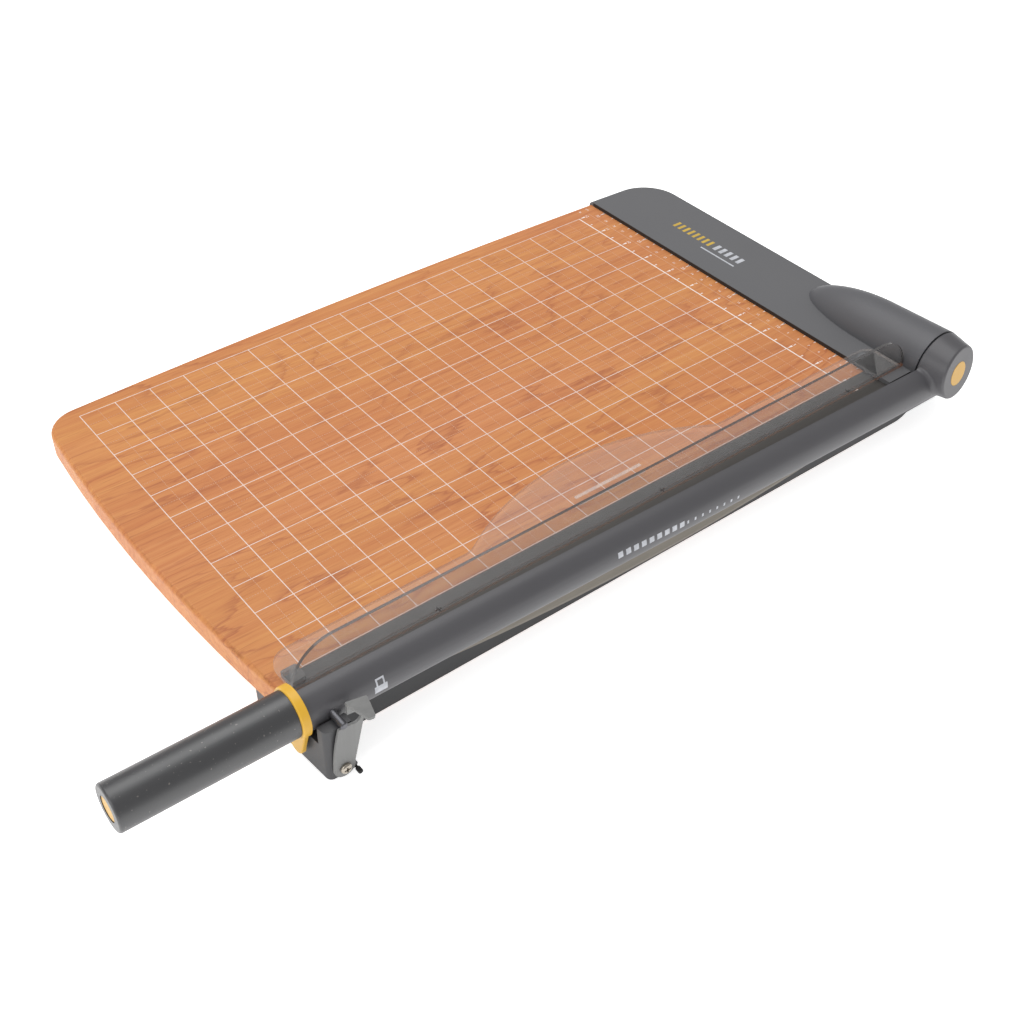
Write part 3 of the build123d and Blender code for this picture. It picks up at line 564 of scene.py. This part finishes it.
def wrapped(name, x, z):
    """A patch of print laid on the bulging side of the arm."""
    deselect()
    middle = (sum(x) / 2, ARM_LOW.y - 5 * MM, sum(z) / 2)
    bpy.ops.mesh.primitive_plane_add(size=1, location=middle, rotation=(math.pi / 2, 0, 0))
    patch = active()
    patch.scale = (x[1] - x[0], z[1] - z[0], 1)
    patch.name = name
    settle(patch)
    bpy.ops.object.mode_set(mode="EDIT")
    bpy.ops.mesh.select_all(action="SELECT")
    bpy.ops.mesh.subdivide(number_cuts=7)
    bpy.ops.object.mode_set(mode="OBJECT")
    wrap = patch.modifiers.new("wrap", "SHRINKWRAP")
    wrap.target = NODES["arm"]
    wrap.wrap_method = "PROJECT"
    wrap.use_project_y = True
    wrap.use_positive_direction = True
    wrap.use_negative_direction = True
    wrap.offset = 0.05 * MM
    bpy.ops.object.modifier_apply(modifier=wrap.name)
    thick = patch.modifiers.new("ink", "SOLIDIFY")
    thick.thickness = 0.04 * MM
    thick.offset = 0
    bpy.ops.object.modifier_apply(modifier=thick.name)
    return patch


def arm_marks():
    """Plain bars on the arm and a plain padlock shape, in one piece."""
    finish_piece(join("arm_marks", arm_bars() + padlock()), "arm", MARK_WHITE)


def arm_bars():
    """Nine large bars and eight small ones, stepping down with the arm's slope."""
    count, large, pitch, slope = 17, 9, 6.2, 0.06
    pieces = []
    for step in range(count):
        low = GRID_X + (192 + pitch * step) * MM
        middle = BOARD_TOP + (3.2 - slope * pitch * step) * MM
        half = (1.9 if step < large else 1.1) * MM
        width = (3.8 if step < large else 1.4) * MM
        pieces.append(wrapped("bar", (low, low + width), (middle - half, middle + half)))
    return pieces


def padlock():
    """A body, two posts and a bow."""
    middle_x, middle_z = GRID_X + 24 * MM, BOARD_TOP + 4.5 * MM
    body_low, body_top = middle_z - 3.6 * MM, middle_z + 1.2 * MM
    post_top, bow_top = middle_z + 4.6 * MM, middle_z + 5.6 * MM
    body = (middle_x - 4 * MM, middle_x + 4 * MM)
    bow = (middle_x - 2.7 * MM, middle_x + 2.7 * MM)
    pieces = [wrapped("lock_body", body, (body_low, body_top))]
    for side in (-2.2, 2.2):
        post = (middle_x + (side - 0.5) * MM, middle_x + (side + 0.5) * MM)
        pieces.append(wrapped("lock_post", post, (body_top, post_top)))
    pieces.append(wrapped("lock_bow", bow, (post_top, bow_top)))
    return pieces


def guard_marks():
    """Two faint plain bars on the guard's lobe."""
    height = (GUARD_FOOT_TOP - INK_SINK, GUARD_FOOT_TOP + INK_RISE)
    middle, length = GRID_Y - 268.5 * MM, 54 * MM
    wide_x, thin_x = GRID_X + 204 * MM, GRID_X + 202 * MM
    wide_y, thin_y = (middle + 1 * MM, middle + 3.6 * MM), (middle - 5 * MM, middle - 3.6 * MM)
    wide = slab("guard_bar", (wide_x, wide_x + length), wide_y, height)
    thin = slab("guard_bar_thin", (thin_x, thin_x + length), thin_y, height)
    finish_piece(join("guard_marks", [wide, thin]), "base", GUARD_INK)


def step_strip():
    """A dark strip of painted shadow on the upright face of the cap's step, beside the board."""
    across = (CAP_LOW.x - 0.25 * MM, CAP_LOW.x + 0.05 * MM)
    along = (GRID_NEAR, CAP_HIGH.y - 5 * MM)
    strip = slab("step_strip", across, along, (BOARD_TOP, CAP_FLAT_TOP - 0.25 * MM))
    finish_piece(strip, "base", SHADOW_STRIP)


cap_marks()
arm_marks()
guard_marks()
step_strip()


# ------------------------------------------------------------------ studio

def pale_floor():
    deselect()
    bpy.ops.mesh.primitive_plane_add(size=FLOOR_SIZE, location=(0, 0, 0))
    floor = active()
    floor.name = "floor"
    paper = Nodes("floor_paper", Roughness=0.9, Specular_IOR_Level=0.1,
                  Emission_Strength=FLOOR_GLOW)
    paper.shader.inputs["Emission Color"].default_value = (1, 1, 1, 1)
    cloud = paper.noise(paper.place, 1.3, 2.0)
    paper.colour(paper.mix(cloud, (0.93, 0.93, 0.93, 1), (0.96, 0.96, 0.96, 1)))
    floor.data.materials.append(paper.material)


def softbox(name, place, aim, size, power):
    lamp = bpy.data.lights.new(name, "AREA")
    lamp.shape = "RECTANGLE"
    lamp.size, lamp.size_y = size
    lamp.energy = power
    box = bpy.data.objects.new(name, lamp)
    box.location = place
    direction = Vector(aim) - Vector(place)
    box.rotation_euler = direction.to_track_quat("-Z", "Y").to_euler()
    bpy.context.scene.collection.objects.link(box)


def studio_light():
    world = bpy.data.worlds.new("studio")
    world.use_nodes = True
    background = world.node_tree.nodes["Background"]
    background.inputs["Color"].default_value = (1, 1, 1, 1)
    background.inputs["Strength"].default_value = ROOM_LIGHT
    bpy.context.scene.world = world
    softbox("overhead", (0.0, 0.6, 2.0), (0, 0, 0), (2.2, 1.6), OVERHEAD_WATTS)
    softbox("left", (-2.0, -0.3, 1.1), (0, 0, 0), (1.2, 1.2), LEFT_WATTS)


def camera():
    data = bpy.data.cameras.new("camera")
    data.lens = LENS_MM
    data.sensor_width = SENSOR_MM
    data.clip_start, data.clip_end = 0.05, 40
    eye = bpy.data.objects.new("camera", data)
    eye.location = Vector((GRID_X, GRID_Y, BOARD_TOP)) + EYE_FROM_GRID
    eye.rotation_euler = [math.radians(angle) for angle in EYE_TURN_DEG]
    bpy.context.scene.collection.objects.link(eye)
    bpy.context.scene.camera = eye


pale_floor()
studio_light()
camera()
bpy.context.scene.view_settings.view_transform = "Standard"
